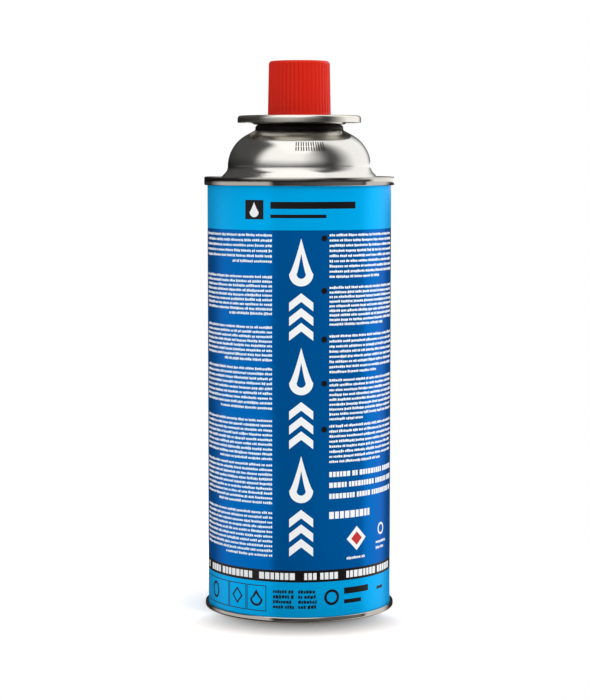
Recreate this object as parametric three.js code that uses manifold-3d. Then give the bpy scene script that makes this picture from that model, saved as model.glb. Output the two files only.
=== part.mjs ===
// A bayonet gas canister for a portable stove: a seamed tinplate can with a domed top, a pressed
// steel collar with a notch, a crimped valve cup with a sprung valve in it, and a ribbed push-in cap.
// Millimetres, +Z up. The origin is on the axis, at the foot of the lower seam.

import * as THREE from "three";
import { mergeVertices } from "three/addons/utils/BufferGeometryUtils.js";
import Module from "manifold-3d";

const wasm = await Module();
wasm.setup();

// Driving dimensions of the can
const bodyRadius = 33.0;
const canHeight = 155.4;
const seamProud = 1.15;
const seamInset = 0.15;
const seamHeight = 3.0;
const seamEdge = 0.35;
const seamStep = 0.2;
const basePanelDepth = 3.9;
const basePanelRise = 6.8;
const basePanelCorner = 1.2;
const countersinkDepth = 3.1;
const countersinkWidth = 1.5;
const domeFlareWidth = 5.3;
const domeFlareArc = 3.2;
const domeFootHeight = 3.6;
const domeConeAngle = 28;
const domeConeRun = 3.1;

// Driving dimensions of the mouth and the collar
const mouthRadius = 12.9;
const mouthUndercut = 1.3;
const curlWidth = 2.9;
const curlCrown = 0.3;
const curlNeck = 0.7;
const collarRadius = 22.15;
const collarSheet = 0.5;
const collarRimRise = 2.7;
const collarLipHeight = 2.5;
const collarHoleClearance = 0.5;
const collarCupClearance = 0.3;
const collarDishWidth = 1.25;
const collarDishRise = 0.9;
const notchWidth = 6.5;
const notchLand = 0.3;

// Driving dimensions of the valve cup
const cupSheet = 0.4;
const cupMouthClearance = 0.3;
const cupRimWidth = 3.2;
const cupRimRise = 1.2;
const cupRimCorner = 0.5;
const cupCrimp = 0.9;
const cupCrimpLand = 0.7;
const cupBelowCrimp = 0.3;
const cupFloorCorner = 0.8;
const cupPocketClearance = 0.4;
const mouthGasketInset = 0.6;
const pedestalDrop = 1.2;
const pedestalCorner = 0.7;

// Driving dimensions of the valve
const stemRadius = 1.95;
const stemRise = 5.9;
const stemTipChamfer = 0.3;
const stemBoreRadius = 0.9;
const stemPortRadius = 0.3;
const stemHeadWidth = 0.85;
const stemHeadThickness = 1.0;
const stemHeadClearance = 0.3;
const stemHoleClearance = 0.35;
const stemStroke = 2.5;
const stemGasketClearance = 0.1;
const stemGasketThickness = 1.0;
const stemGasketInset = 0.2;
const springWire = 0.5;
const springTurns = 5;
const springSlack = 1.3;
const springSideClearance = 0.35;
const springPinClearance = 0.6;
const springPinLength = 1.9;
const housingWall = 0.8;
const housingStep = 0.6;
const housingClearance = 0.3;
const housingHeadHeight = 2.2;
const housingFloor = 1.2;
const housingTailRadius = 2.2;
const housingTailLength = 2.0;
const housingTailBore = 0.9;
const housingPocketClearance = 1.2;

// Driving dimensions of the cap
const capVisibleHeight = 19.4;
const capSkirtClearance = 0.4;
const capWall = 1.3;
const capCrown = 1.4;
const capTaper = 0.35;
const capTopCorner = 1.2;
const capRibs = 45;
const capRibDepth = 0.3;
const capRibFoot = 0.4;
const capBeadClearance = 0.15;
const capBeadHeight = 1.2;
const capBeadLift = 1.8;

// Smoothness of the round shapes
const canSides = 56;
const collarSides = 56;
const cupSides = 36;
const valveSides = 24;
const sidesPerRib = 2;
const springStepsPerTurn = 9;
const springWireSides = 6;
const portSides = 8;

// Places that follow from the driving dimensions, from the can up to the collar
const seamRadius = bodyRadius + seamProud;
const seamInside = bodyRadius - seamInset;
const sinkOuter = seamInside - seamEdge;
const sinkInner = sinkOuter - countersinkWidth;
const sinkFloor = canHeight - countersinkDepth;
const domeRadius = sinkInner - domeFlareWidth;
const domeFoot = canHeight + domeFootHeight;
const curlOutside = mouthRadius + curlWidth;
const curlArc = (curlWidth - curlCrown) / 2;
const shoulderTurn = 90 - domeConeAngle;
const shoulderCosine = Math.cos(THREE.MathUtils.degToRad(shoulderTurn));
const shoulderArc = (domeRadius - curlOutside - domeConeRun) / (1 - shoulderCosine);
const shoulderRise = shoulderArc * Math.sin(THREE.MathUtils.degToRad(shoulderTurn));
const coneRise = domeConeRun * Math.tan(THREE.MathUtils.degToRad(domeConeAngle));
const neckFoot = domeFoot + shoulderRise + coneRise;
const curlTop = neckFoot + curlNeck + curlArc;
const panTop = curlTop + collarSheet;
const collarTop = panTop + collarRimRise;

// Places in the valve cup
const cupWallRadius = mouthRadius - cupMouthClearance;
const cupInside = cupWallRadius - cupSheet;
const cupRimRadius = cupWallRadius + cupRimWidth;
const cupRimTop = panTop + cupRimRise;
const crimpTop = neckFoot - cupMouthClearance;
const crimpFoot = crimpTop - 2 * cupCrimp - cupCrimpLand;
const cupFloorTop = crimpFoot - cupBelowCrimp - cupFloorCorner;
const collarRimInner = cupRimRadius + collarCupClearance + collarDishWidth;

// Places in the valve, from the stem out and from the pedestal down
const stemHeadRadius = stemRadius + stemHeadWidth;
const housingInside = stemHeadRadius + stemHeadClearance;
const housingNeck = housingInside + housingWall;
const housingRadius = housingNeck + housingStep;
const pedestalRadius = housingRadius + housingClearance + cupSheet;
const pedestalTop = cupRimTop - pedestalDrop;
const gasketTop = pedestalTop - cupSheet;
const gasketUnder = gasketTop - stemGasketThickness;
const housingHeadUnder = gasketUnder - housingHeadHeight;
const stemTip = pedestalTop + stemRise;
const stemHeadUnder = gasketUnder - stemHeadThickness;
const springLength = springTurns * springWire + springWire + stemStroke + springSlack;
const springOutside = housingInside - springSideClearance;
const springPinRadius = springOutside - springWire - springPinClearance;
const chamberFloor = stemHeadUnder - springLength;
const housingFoot = chamberFloor - housingFloor;
const housingEnd = housingFoot - housingTailLength;

// Places in the cap
const capFoot = cupFloorTop;
const capTop = collarTop + capVisibleHeight;
const capSkirtRadius = cupInside - cupFloorCorner - capSkirtClearance;
const capRibRadius = capSkirtRadius + capRibDepth;
const capTopRadius = capRibRadius - capTaper;
const capRibsFrom = collarTop + capRibFoot;
const capRibsTo = capTop - capTopCorner;

// Points of a circular arc in a section, its angles in degrees from the outward direction.
function arc(centreRadius, centreHeight, size, fromDegrees, toDegrees, steps) {
  const points = [];
  for (let i = 0; i <= steps; i += 1) {
    const angle = THREE.MathUtils.degToRad(fromDegrees + ((toDegrees - fromDegrees) * i) / steps);
    points.push([centreRadius + size * Math.cos(angle), centreHeight + size * Math.sin(angle)]);
  }
  return points;
}

// A section of [radius, height] points turned about the Z axis, with its faces pointing out.
function turned(section, sides) {
  const onAxis = section[0][0] === 0 && section[section.length - 1][0] === 0;
  const closed = onAxis ? section : [...section, section[0]];
  const points = closed.map(([radius, height]) => new THREE.Vector2(radius, height));
  if (THREE.ShapeUtils.area(points) < 0) {
    points.reverse();
  }
  const geometry = new THREE.LatheGeometry(points, sides);
  geometry.rotateX(Math.PI / 2);
  return geometry;
}

// The closed section of a bent sheet, from its middle line and its thickness, with mitred bends.
function sheetSection(line, thickness) {
  const vectors = line.map(([radius, height]) => new THREE.Vector2(radius, height));
  const directions = vectors.slice(1).map((point, i) => point.clone().sub(vectors[i]).normalize());
  const face = (sign) =>
    vectors.map((point, i) => {
      const before = directions[Math.max(i - 1, 0)];
      const after = directions[Math.min(i, directions.length - 1)];
      const along = before.clone().add(after).normalize();
      const mitre = (sign * thickness) / 2 / along.dot(after);
      return [point.x - along.y * mitre, point.y + along.x * mitre];
    });
  return [...face(-1), ...face(1).reverse()];
}

// A geometry as a solid that can be cut.
function solidOf(geometry) {
  const bare = geometry.clone();
  bare.deleteAttribute("normal");
  bare.deleteAttribute("uv");
  const merged = mergeVertices(bare, 1e-4);
  const mesh = new wasm.Mesh({
    numProp: 3,
    vertProperties: merged.attributes.position.array,
    triVerts: new Uint32Array(merged.index.array),
  });
  return new wasm.Manifold(mesh);
}

// A cut solid as a geometry again.
function geometryOf(solid) {
  const mesh = solid.getMesh();
  const geometry = new THREE.BufferGeometry();
  geometry.setAttribute("position", new THREE.BufferAttribute(mesh.vertProperties, 3));
  geometry.setIndex(new THREE.BufferAttribute(mesh.triVerts, 1));
  geometry.computeVertexNormals();
  return geometry;
}

// The base of the can, from the axis out to the foot of the body: a bowl that bulges up into the
// can, the step down to the lower seam, and the seam's foot and outside.
function baseSection() {
  const panelRadius = seamInside - basePanelCorner;
  const bowl = (panelRadius ** 2 + basePanelRise ** 2) / (2 * basePanelRise);
  const halfAngle = THREE.MathUtils.radToDeg(Math.asin(panelRadius / bowl));
  const crown = basePanelDepth + basePanelRise;
  return [
    [0, crown],
    ...arc(0, crown - bowl, bowl, 90, 90 - halfAngle, 4).slice(1),
    [seamInside, basePanelDepth - basePanelCorner],
    [seamInside, seamEdge],
    [seamInside + seamEdge, 0],
    [seamRadius - seamEdge, 0],
    [seamRadius, seamEdge],
    [seamRadius, seamHeight - seamEdge],
    [seamRadius - seamEdge, seamHeight],
    [bodyRadius, seamHeight + seamStep],
  ];
}

// The upper seam, the countersink inside it, the dome and the curl round the mouth.
function topSection() {
  const foot = canHeight - seamHeight;
  return [
    [bodyRadius, foot - seamStep],
    [seamRadius - seamEdge, foot],
    [seamRadius, foot + seamEdge],
    [seamRadius, canHeight - seamEdge],
    [seamRadius - seamEdge, canHeight],
    [seamInside + seamEdge, canHeight],
    [seamInside, canHeight - seamEdge],
    [seamInside, sinkFloor + seamEdge],
    [sinkOuter, sinkFloor],
    [sinkInner, sinkFloor],
    ...arc(domeRadius + domeFlareArc, domeFoot, domeFlareArc, 225, 180, 2),
    ...arc(domeRadius - shoulderArc, domeFoot, shoulderArc, 0, shoulderTurn, 5).slice(1),
    [curlOutside, neckFoot],
    ...arc(curlOutside - curlArc, curlTop - curlArc, curlArc, 0, 90, 2),
    ...arc(mouthRadius + curlArc, curlTop - curlArc, curlArc, 90, 180, 2),
    [mouthRadius, neckFoot],
  ];
}

// The hollow that the valve cup and the valve housing hang in, down to the axis.
function pocketSection() {
  const pocketRadius = mouthRadius + mouthUndercut;
  const cupPocketFloor = cupFloorTop - cupSheet - cupPocketClearance;
  const valvePocketRadius = housingNeck + housingPocketClearance;
  const valvePocketFloor = housingEnd - housingPocketClearance;
  return [
    [pocketRadius, neckFoot - mouthUndercut],
    [pocketRadius, cupPocketFloor],
    [valvePocketRadius, cupPocketFloor],
    [valvePocketRadius, valvePocketFloor],
    [0, valvePocketFloor],
  ];
}

function canGeometry() {
  return turned([...baseSection(), ...topSection(), ...pocketSection()], canSides);
}

// The pressed collar: a pan on the can's curl, a dished wall, the flat rim and its lip.
function collarGeometry() {
  const half = collarSheet / 2;
  const line = [
    [mouthRadius + collarHoleClearance, panTop - half],
    [cupRimRadius + collarCupClearance, panTop - half],
    [collarRimInner, panTop - half + collarDishRise],
    [collarRimInner, collarTop - half],
    [collarRadius - half, collarTop - half],
    [collarRadius - half, collarTop - collarLipHeight],
  ];
  const ring = solidOf(turned(sheetSection(line, collarSheet), collarSides));
  return geometryOf(ring.subtract(notchCutter()));
}

// The block that cuts the key notch at the back of the rim and lip.
function notchCutter() {
  const floor = collarRimInner + collarSheet / 2 + notchLand;
  const reach = 2 * (collarRadius - floor);
  const height = 2 * (collarLipHeight + collarSheet);
  const block = new THREE.BoxGeometry(notchWidth, reach, height);
  block.translate(0, floor + reach / 2, collarTop);
  return solidOf(block);
}

// The valve cup: a rim over the gasket, a wall crimped under the can's neck, a floor, and the
// pedestal that is crimped under the head of the valve housing.
function cupGeometry() {
  const half = cupSheet / 2;
  const wall = cupWallRadius - half;
  const rim = cupRimRadius - half;
  const rimShelf = cupRimTop - half;
  const floor = cupFloorTop - half;
  const pedestal = pedestalRadius - half;
  const pedestalCrimp = housingHeadUnder - housingClearance - housingStep;
  const line = [
    [rim, panTop],
    [rim, rimShelf - cupRimCorner],
    [rim - cupRimCorner, rimShelf],
    [wall + cupRimCorner, rimShelf],
    [wall, rimShelf - cupRimCorner],
    [wall, crimpTop],
    [wall + cupCrimp, crimpTop - cupCrimp],
    [wall + cupCrimp, crimpFoot + cupCrimp],
    [wall, crimpFoot],
    [wall, floor + cupFloorCorner],
    [wall - cupFloorCorner, floor],
    [pedestal + pedestalCorner, floor],
    [pedestal, floor + pedestalCorner],
    [pedestal - housingStep, pedestalCrimp],
    [pedestal, pedestalCrimp + housingStep],
    [pedestal, pedestalTop - half - pedestalCorner],
    [pedestal - pedestalCorner, pedestalTop - half],
    [stemRadius + stemHoleClearance, pedestalTop - half],
  ];
  return turned(sheetSection(line, cupSheet), cupSides);
}

// A flat ring between two heights.
function ringGeometry(insideRadius, outsideRadius, underside, top, sides) {
  const section = [
    [insideRadius, underside],
    [outsideRadius, underside],
    [outsideRadius, top],
    [insideRadius, top],
  ];
  return turned(section, sides);
}

function mouthGasketGeometry() {
  const inside = cupWallRadius + mouthGasketInset;
  const outside = cupRimRadius - cupSheet - mouthGasketInset;
  return ringGeometry(inside, outside, panTop, cupRimTop - cupSheet, cupSides);
}

function stemGasketGeometry() {
  const inside = stemRadius + stemGasketClearance;
  const outside = pedestalRadius - cupSheet - pedestalCorner - stemGasketInset;
  return ringGeometry(inside, outside, gasketUnder, gasketTop, valveSides);
}

// The plastic valve housing: an open chamber for the spring, with a head, a neck and a bored tail.
function housingGeometry() {
  const section = [
    [housingTailBore, housingEnd],
    [housingTailRadius, housingEnd],
    [housingTailRadius, housingFoot],
    [housingNeck, housingFoot],
    [housingNeck, housingHeadUnder],
    [housingRadius, housingHeadUnder],
    [housingRadius, gasketUnder],
    [housingInside, gasketUnder],
    [housingInside, chamberFloor],
    [housingTailBore, chamberFloor],
  ];
  return turned(section, valveSides);
}

// The hollow stem: a blind bore from the tip, a cross port that the gasket covers at rest, a head
// under the gasket and a pin that centres the spring.
function stemGeometry() {
  const section = [
    [0, stemHeadUnder - springPinLength],
    [springPinRadius, stemHeadUnder - springPinLength],
    [springPinRadius, stemHeadUnder],
    [stemHeadRadius, stemHeadUnder],
    [stemHeadRadius, gasketUnder],
    [stemRadius, gasketUnder],
    [stemRadius, stemTip - stemTipChamfer],
    [stemRadius - stemTipChamfer, stemTip],
    [stemBoreRadius, stemTip],
    [stemBoreRadius, gasketUnder],
    [0, gasketUnder],
  ];
  const port = new THREE.CylinderGeometry(stemPortRadius, stemPortRadius, 3 * stemRadius, portSides);
  port.translate(0, 0, (gasketUnder + gasketTop) / 2);
  return geometryOf(solidOf(turned(section, valveSides)).subtract(solidOf(port)));
}

// The middle line of the return spring's wire, from the chamber floor up to the stem's head.
class SpringLine extends THREE.Curve {
  getPoint(share, target = new THREE.Vector3()) {
    const angle = share * springTurns * 2 * Math.PI;
    const radius = springOutside - springWire / 2;
    const lowest = chamberFloor + springWire / 2;
    const highest = stemHeadUnder - springWire / 2;
    const height = THREE.MathUtils.lerp(lowest, highest, share);
    return target.set(radius * Math.cos(angle), radius * Math.sin(angle), height);
  }
}

function springGeometry() {
  const wire = new THREE.Shape();
  wire.absarc(0, 0, springWire / 2, 0, 2 * Math.PI);
  return new THREE.ExtrudeGeometry(wire, {
    extrudePath: new SpringLine(),
    steps: springTurns * springStepsPerTurn,
    curveSegments: springWireSides / 2,
  });
}

// The push-in cap: a plain skirt with a snap bead inside the cup, and a ribbed, tapered top.
function capGeometry() {
  const beadRadius = cupInside - capBeadClearance;
  const beadMiddle = capFoot + capBeadLift;
  const insideTop = capTopRadius - capRibDepth - capWall;
  const section = [
    [0, capTop - capCrown],
    [insideTop, capTop - capCrown],
    [capSkirtRadius - capWall, capFoot],
    [capSkirtRadius, capFoot],
    [capSkirtRadius, beadMiddle - capBeadHeight / 2],
    [beadRadius, beadMiddle],
    [capSkirtRadius, beadMiddle + capBeadHeight / 2],
    [capSkirtRadius, capRibsFrom - capRibDepth],
    [capRibRadius, capRibsFrom],
    ...arc(capTopRadius - capTopCorner, capRibsTo, capTopCorner, 0, 90, 3),
    [0, capTop],
  ];
  const geometry = turned(section, capRibs * sidesPerRib);
  sinkGrooves(geometry);
  return geometry;
}

// Sinks one vertex of each rib pitch where the cap is ribbed, which leaves the ribs standing.
function sinkGrooves(geometry) {
  const place = geometry.attributes.position;
  const pitch = (2 * Math.PI) / capRibs;
  const margin = capRibDepth / 4;
  for (let i = 0; i < place.count; i += 1) {
    const [x, y, z] = [place.getX(i), place.getY(i), place.getZ(i)];
    const radius = Math.hypot(x, y);
    const turns = Math.atan2(x, -y) / pitch;
    const inGroove = Math.abs(turns - Math.round(turns)) < 0.5 / sidesPerRib;
    const onRibs = z > capRibsFrom - margin && z < capRibsTo + margin;
    if (inGroove && onRibs && radius > capTopRadius - margin) {
      const share = (radius - capRibDepth) / radius;
      place.setXY(i, x * share, y * share);
    }
  }
}

function finish(colour, roughness, metalness) {
  return new THREE.MeshStandardMaterial({ color: colour, roughness, metalness });
}

const printedTinplate = finish(0x0c78c0, 0.32, 0.2);
const pressedSteel = finish(0xb4b2ae, 0.3, 0.95);
const cupSteel = finish(0xc2bfb6, 0.28, 0.95);
const stemBrass = finish(0xc9a85a, 0.3, 0.9);
const blackRubber = finish(0x1d1d1f, 0.85, 0);
const whiteNylon = finish(0xe9e7df, 0.5, 0);
const springSteel = finish(0x9a9c9e, 0.35, 0.9);
const redPlastic = finish(0xc93a26, 0.42, 0);

function part(name, geometry, material) {
  const mesh = new THREE.Mesh(geometry, material);
  mesh.name = name;
  return mesh;
}

const canister = new THREE.Group();
canister.add(
  part("can", canGeometry(), printedTinplate),
  part("bayonet_collar", collarGeometry(), pressedSteel),
  part("valve_cup", cupGeometry(), cupSteel),
  part("mouth_gasket", mouthGasketGeometry(), blackRubber),
  part("stem_gasket", stemGasketGeometry(), blackRubber),
  part("valve_housing", housingGeometry(), whiteNylon),
  part("stem_spring", springGeometry(), springSteel),
  part("valve_stem", stemGeometry(), stemBrass),
  part("cap", capGeometry(), redPlastic),
);

export default canister;
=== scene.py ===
"""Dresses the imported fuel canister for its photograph.

Sizes are in millimetres unless a name says otherwise, and MM turns them into the frame's metres.
Heights are from the floor, radii from the canister's axis, and azimuths in degrees from the front
(-Y) towards +X.
"""

import logging
import math
import random
from collections.abc import Callable, Sequence
from dataclasses import dataclass, field
from enum import Enum

import bpy
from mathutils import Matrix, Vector

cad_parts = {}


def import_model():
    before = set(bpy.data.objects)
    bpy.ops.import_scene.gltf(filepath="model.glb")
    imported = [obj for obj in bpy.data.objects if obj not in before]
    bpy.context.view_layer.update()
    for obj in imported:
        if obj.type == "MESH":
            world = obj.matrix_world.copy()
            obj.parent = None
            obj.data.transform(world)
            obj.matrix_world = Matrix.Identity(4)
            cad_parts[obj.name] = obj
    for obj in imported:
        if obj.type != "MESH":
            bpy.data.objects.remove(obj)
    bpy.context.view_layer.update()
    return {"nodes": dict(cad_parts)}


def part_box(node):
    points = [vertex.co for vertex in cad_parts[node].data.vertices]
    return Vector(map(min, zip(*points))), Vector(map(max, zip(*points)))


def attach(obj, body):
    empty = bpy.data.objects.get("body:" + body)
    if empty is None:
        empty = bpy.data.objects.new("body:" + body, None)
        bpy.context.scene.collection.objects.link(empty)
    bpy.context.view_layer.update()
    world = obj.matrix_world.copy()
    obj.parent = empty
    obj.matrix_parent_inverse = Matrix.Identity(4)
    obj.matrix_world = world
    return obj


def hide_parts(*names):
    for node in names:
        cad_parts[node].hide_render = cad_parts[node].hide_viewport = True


MM = 0.001
SAME_POINT = 1e-4
ON_AXIS = 1e-6
HAIR = 0.01
SHARP_DEGREES = 40.0
LABEL_SEED = 11

LOG = logging.getLogger("fuel_canister")

Point = tuple[float, float]
Point3 = tuple[float, float, float]
Colour = tuple[float, float, float]
Rgba = tuple[float, float, float, float]


@dataclass(frozen=True)
class Corner:
    """A corner of a turned outline, with the radius of the fillet that rounds it."""

    r: float
    z: float
    fillet: float = 0.0
    steps: int = 5


def rounded(corners: Sequence[Corner]) -> list[Point]:
    """Rounds the corners of an open outline, each with its own fillet.

    Args:
        corners: the outline's corners, in order. The first and last stay sharp.

    Returns:
        The outline's points, without repeats.
    """
    points: list[Point] = []
    for i, corner in enumerate(corners):
        if corner.fillet <= 0 or i in (0, len(corners) - 1):
            points.append((corner.r, corner.z))
            continue
        here = Vector((corner.r, corner.z))
        before, after = corners[i - 1], corners[i + 1]
        back = (Vector((before.r, before.z)) - here).normalized()
        ahead = (Vector((after.r, after.z)) - here).normalized()
        half = back.angle(ahead) / 2
        reach = corner.fillet / math.tan(half)
        centre = here + (back + ahead).normalized() * corner.fillet / math.sin(half)
        start, end = here + back * reach - centre, here + ahead * reach - centre
        first = math.atan2(start.y, start.x)
        sweep = (math.atan2(end.y, end.x) - first + math.pi) % math.tau - math.pi
        for k in range(corner.steps + 1):
            turn = first + sweep * k / corner.steps
            points.append((centre.x + corner.fillet * math.cos(turn),
                           centre.y + corner.fillet * math.sin(turn)))
    kept = [points[0]]
    for point in points[1:]:
        if math.dist(point, kept[-1]) > SAME_POINT:
            kept.append(point)
    return kept


def offset(path: Sequence[Point], distance: float, least_cosine: float = 0.35) -> list[Point]:
    """Moves an open path sideways, for the other face of a sheet.

    Args:
        path: the path's points.
        distance: how far it moves, to the right of its direction of travel.
        least_cosine: keeps the points of tight corners from moving too far.

    Returns:
        The moved path, with as many points.
    """
    sides: list[Vector] = []
    for a, b in zip(path, path[1:]):
        along = Vector((b[0] - a[0], b[1] - a[1])).normalized()
        sides.append(Vector((along.y, -along.x)))
    moved: list[Point] = []
    for i, point in enumerate(path):
        before, after = sides[max(i - 1, 0)], sides[min(i, len(sides) - 1)]
        mean = (before + after).normalized()
        step = mean * distance / max(mean.dot(after), least_cosine)
        moved.append((point[0] + step.x, point[1] + step.y))
    return moved


def sheet_section(corners: Sequence[Corner], thickness: float) -> list[Point]:
    """Returns the closed section of a pressed sheet, from the corners of its middle line."""
    middle = rounded(corners)
    return offset(middle, thickness / 2) + offset(middle, -thickness / 2)[::-1]


def make_object(
    name: str,
    points: Sequence[Point3],
    faces: Sequence[Sequence[int]],
    materials: Sequence[bpy.types.Material],
    slots: Sequence[int] | None = None,
) -> bpy.types.Object:
    """Makes a smooth-shaded mesh object at the origin.

    Args:
        name: the piece's name.
        points: its points in millimetres.
        faces: its faces, each a list of point numbers.
        materials: its materials, in slot order.
        slots: the material slot of each face, or None where it has one material.

    Returns:
        The object, linked to the scene.
    """
    mesh = bpy.data.meshes.new(name)
    mesh.from_pydata([(x * MM, y * MM, z * MM) for x, y, z in points], [], faces)
    for material in materials:
        mesh.materials.append(material)
    if slots is not None:
        mesh.polygons.foreach_set("material_index", slots)
    mesh.polygons.foreach_set("use_smooth", [True] * len(mesh.polygons))
    mesh.set_sharp_from_angle(angle=math.radians(SHARP_DEGREES))
    mesh.update()
    made = bpy.data.objects.new(name, mesh)
    bpy.context.scene.collection.objects.link(made)
    return made


def make_block(name: str, low: Point3, high: Point3,
               material: bpy.types.Material) -> bpy.types.Object:
    """Makes a box-shaped object.

    Args:
        name: its name.
        low: its lowest corner.
        high: its highest corner.
        material: its material.

    Returns:
        The object, linked to the scene.
    """
    plan = ((low[0], low[1]), (high[0], low[1]), (high[0], high[1]), (low[0], high[1]))
    corners = [(x, y, z) for z in (low[2], high[2]) for x, y in plan]
    faces = [[3, 2, 1, 0], [4, 5, 6, 7], [0, 1, 5, 4], [1, 2, 6, 5], [2, 3, 7, 6], [3, 0, 4, 7]]
    return make_object(name, corners, faces, [material])


@dataclass
class Turning:
    """A turned shape: an outline swept round the canister's axis."""

    name: str
    outline: Sequence[Point]
    materials: Sequence[bpy.types.Material]
    sides: int
    slot_at: Callable[[float, float], int] | None = None
    swell: Callable[[float, float, float], float] | None = None

    def _outward(self) -> list[Point]:
        """Puts the outline in the direction that makes its faces look outward.

        Returns:
            The outline, which starts and ends on the axis where it touches it.
        """
        path = list(self.outline)
        area = sum(a[0] * b[1] - b[0] * a[1] for a, b in zip(path, path[1:] + path[:1]))
        path = path if area > 0 else path[::-1]
        if min(r for r, _ in path) < ON_AXIS:
            while not (path[0][0] < ON_AXIS and path[-1][0] < ON_AXIS):
                path = path[1:] + path[:1]
        return path

    def build(self) -> bpy.types.Object:
        """Sweeps the outline and makes the object.

        Returns:
            The turned piece.
        """
        path = self._outward()
        points: list[Point3] = []
        rows: list[list[int]] = []
        for r, z in path:
            if r < ON_AXIS:
                rows.append([len(points)] * self.sides)
                points.append((0.0, 0.0, z))
                continue
            rows.append(list(range(len(points), len(points) + self.sides)))
            for k in range(self.sides):
                turn = math.tau * k / self.sides
                reach = r + (self.swell(r, z, turn) if self.swell else 0.0)
                points.append((reach * math.cos(turn), reach * math.sin(turn), z))
        faces: list[list[int]] = []
        slots: list[int] = []
        for i in range(len(path) - (1 if path[0][0] < ON_AXIS else 0)):
            low, high = rows[i], rows[(i + 1) % len(path)]
            a, b = path[i], path[(i + 1) % len(path)]
            slot = self.slot_at((a[0] + b[0]) / 2, (a[1] + b[1]) / 2) if self.slot_at else 0
            for k in range(self.sides):
                n = (k + 1) % self.sides
                ring = [low[k], low[n], high[n], high[k]]
                faces.append(list(dict.fromkeys(ring)))
                slots.append(slot)
        return make_object(self.name, points, faces, self.materials, slots)


def dress(piece: bpy.types.Object, body: str, slot: str, *stands_for: str) -> None:
    """Args:
        piece: the finished piece.
        body: the CAD body it moves with.
        slot: the record's material slot of its finish; not used.
        stands_for: the CAD nodes that it replaces.
    """
    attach(piece, body)
    if stands_for:
        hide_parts(*stands_for)
    LOG.info("%s: %d faces, on %s", piece.name, len(piece.data.polygons), body)


@dataclass
class Nodes:
    """The shader nodes of one material or world."""

    tree: bpy.types.NodeTree

    def wire(self, node: bpy.types.Node, inputs: dict[str | int, object]) -> None:
        """Fills a node's inputs.

        Args:
            node: the node.
            inputs: for each input, by name or number, its value or the output that feeds it.
        """
        for key, source in inputs.items():
            if isinstance(source, bpy.types.NodeSocket):
                self.tree.links.new(source, node.inputs[key])
            else:
                node.inputs[key].default_value = source

    def add(self, kind: str, inputs: dict[str | int, object] | None = None,
            **options: object) -> bpy.types.bpy_prop_collection:
        """Adds a node.

        Args:
            kind: the end of its type's name, after ShaderNode.
            inputs: its inputs, as wire takes them.
            options: its own options, such as operation.

        Returns:
            The node's outputs.
        """
        node = self.tree.nodes.new(f"ShaderNode{kind}")
        for option, choice in options.items():
            setattr(node, option, choice)
        self.wire(node, inputs or {})
        return node.outputs


def blank_material(name: str) -> bpy.types.Material:
    """Makes a material that has no nodes yet.

    Args:
        name: the material's name.

    Returns:
        The material.
    """
    made = bpy.data.materials.new(name)
    made.use_nodes = True
    made.node_tree.nodes.clear()
    return made


def linear(colour: Colour) -> Rgba:
    """Turns a screen colour into Blender's linear colour.

    Args:
        colour: red, green and blue, from 0 to 255.

    Returns:
        The opaque linear colour.
    """
    parts = [c / 255 for c in colour]
    lit = [p / 12.92 if p <= 0.04045 else ((p + 0.055) / 1.055) ** 2.4 for p in parts]
    return lit[0], lit[1], lit[2], 1.0


class Grain(Enum):
    """The kinds of surface texture that the finishes use."""

    TURNED = "fine lines round the axis"
    EVEN = "the same in every direction"


@dataclass(frozen=True)
class Finish:
    """One surface finish, made as a procedural material."""

    name: str
    colour: Colour
    worn: Colour
    roughness: float
    rougher: float
    metallic: float = 0.0
    specular: float = 0.5
    edge: Colour = (255, 255, 255)
    grain: Grain = Grain.EVEN
    lines_per_mm: float = 2.0
    relief: float = 0.05
    relief_depth: float = 0.02
    turned_drift: float = 0.03
    noise_detail: float = 3.0
    noise_from: float = 0.3
    noise_to: float = 0.7

    def _place(self, nodes: Nodes) -> bpy.types.NodeSocket:
        """Finds the place that the grain is looked up at.

        Args:
            nodes: the material's nodes.

        Returns:
            The socket of the place. A turned grain hardly changes round the axis.
        """
        place = nodes.add("TexCoord")["Object"]
        if self.grain is Grain.TURNED:
            parts = nodes.add("SeparateXYZ", {0: place})
            flat = nodes.add("VectorMath", {0: place, 1: (1.0, 1.0, 0.0)}, operation="MULTIPLY")
            reach = nodes.add("VectorMath", {0: flat["Vector"]}, operation="LENGTH")
            drift = nodes.add("Math", {0: parts["X"], 1: self.turned_drift}, operation="MULTIPLY")
            turned = {"X": reach["Value"], "Y": drift["Value"], "Z": parts["Z"]}
            place = nodes.add("CombineXYZ", turned)["Vector"]
        scale = {0: place, "Scale": self.lines_per_mm / MM}
        return nodes.add("VectorMath", scale, operation="SCALE")["Vector"]

    def material(self) -> bpy.types.Material:
        """Makes the finish's material.

        Returns:
            The material, with colour, roughness and relief driven by its own grain.
        """
        made = bpy.data.materials.new(self.name)
        made.use_nodes = True
        nodes = Nodes(made.node_tree)
        noise = nodes.add("TexNoise", {"Vector": self._place(nodes),
                                       "Detail": self.noise_detail})["Fac"]
        blend = nodes.add("Mix", {"A": linear(self.colour), "B": linear(self.worn),
                                  "Factor": noise}, data_type="RGBA")
        dull = nodes.add("MapRange", {"Value": noise, "From Min": self.noise_from,
                                      "From Max": self.noise_to, "To Min": self.roughness,
                                      "To Max": self.rougher})
        bump = nodes.add("Bump", {"Strength": self.relief, "Distance": self.relief_depth * MM,
                                  "Height": noise})
        nodes.wire(made.node_tree.nodes["Principled BSDF"], {
            "Base Color": blend["Result"],
            "Roughness": dull["Result"],
            "Normal": bump["Normal"],
            "Metallic": self.metallic,
            "Specular IOR Level": self.specular,
            "Specular Tint": linear(self.edge),
        })
        return made


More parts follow.
